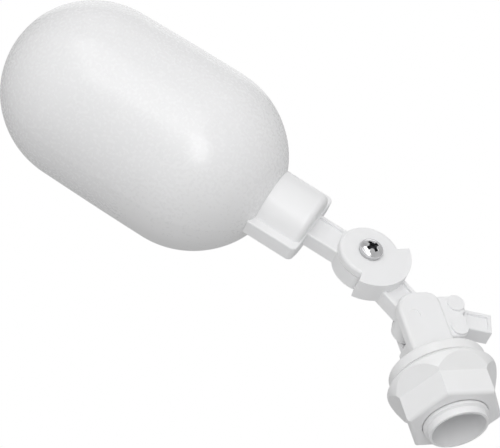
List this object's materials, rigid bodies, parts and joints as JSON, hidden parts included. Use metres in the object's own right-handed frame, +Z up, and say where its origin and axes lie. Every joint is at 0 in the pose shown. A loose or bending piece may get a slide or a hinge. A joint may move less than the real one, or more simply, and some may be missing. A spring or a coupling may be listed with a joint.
{
  "type": "float valve",
  "caption": "Side-entry plastic float valve: capsule float on a clamped, adjustable arm, pivoted lever and plunger in a slotted head, threaded inlet stem with flange, gasket and back nut.",
  "frame": {"origin": "centre of the flange's seating face, on the inlet pipe's axis", "axes": "+X along the pipe towards the inlet mouth, +Z up with the valve mounted through a tank wall, Y along the pivot pin"},
  "size_m": [0.1648, 0.0608, 0.1391],
  "materials": {
    "body_plastic": "white moulded polypropylene, satin",
    "float_plastic": "white blow-moulded plastic, soft sheen",
    "stainless": "polished stainless steel",
    "gasket_rubber": "pale silicone rubber, matt",
    "seal_rubber": "black rubber, matt"
  },
  "bodies": {
    "valve": {"valve_body": "body_plastic", "seat_nozzle": "body_plastic", "pivot_pin": "stainless", "flange_gasket": "gasket_rubber", "back_nut": "body_plastic"},
    "plunger": {"plunger": "body_plastic", "seal_pad": "seal_rubber"},
    "lever": {"lever": "body_plastic", "clamp_screw": "stainless", "clamp_washer": "stainless", "clamp_nut": "stainless"},
    "float": {"float_arm": "body_plastic", "float_shell": "float_plastic", "float_plug": "float_plastic"}
  },
  "joints": [
    {"name": "lever_swing", "type": "hinge", "parent": "valve", "child": "lever", "pos_m": [-0.019, 0, -0.0048], "axis": [0, 1, 0], "range_deg": [0, 22]},
    {"name": "plunger_slide", "type": "slide", "parent": "valve", "child": "plunger", "axis": [1, 0, 0], "range_m": [0, 0.00169]},
    {"name": "arm_adjust", "type": "hinge", "parent": "lever", "child": "float", "pos_m": [-0.0446, 0, -0.0118], "axis": [0, 1, 0], "range_deg": [-55, 90]}
  ],
  "couplings": [
    {"joint": "plunger_slide", "follows": "lever_swing", "m_per_rad": 0.0043}
  ]
}
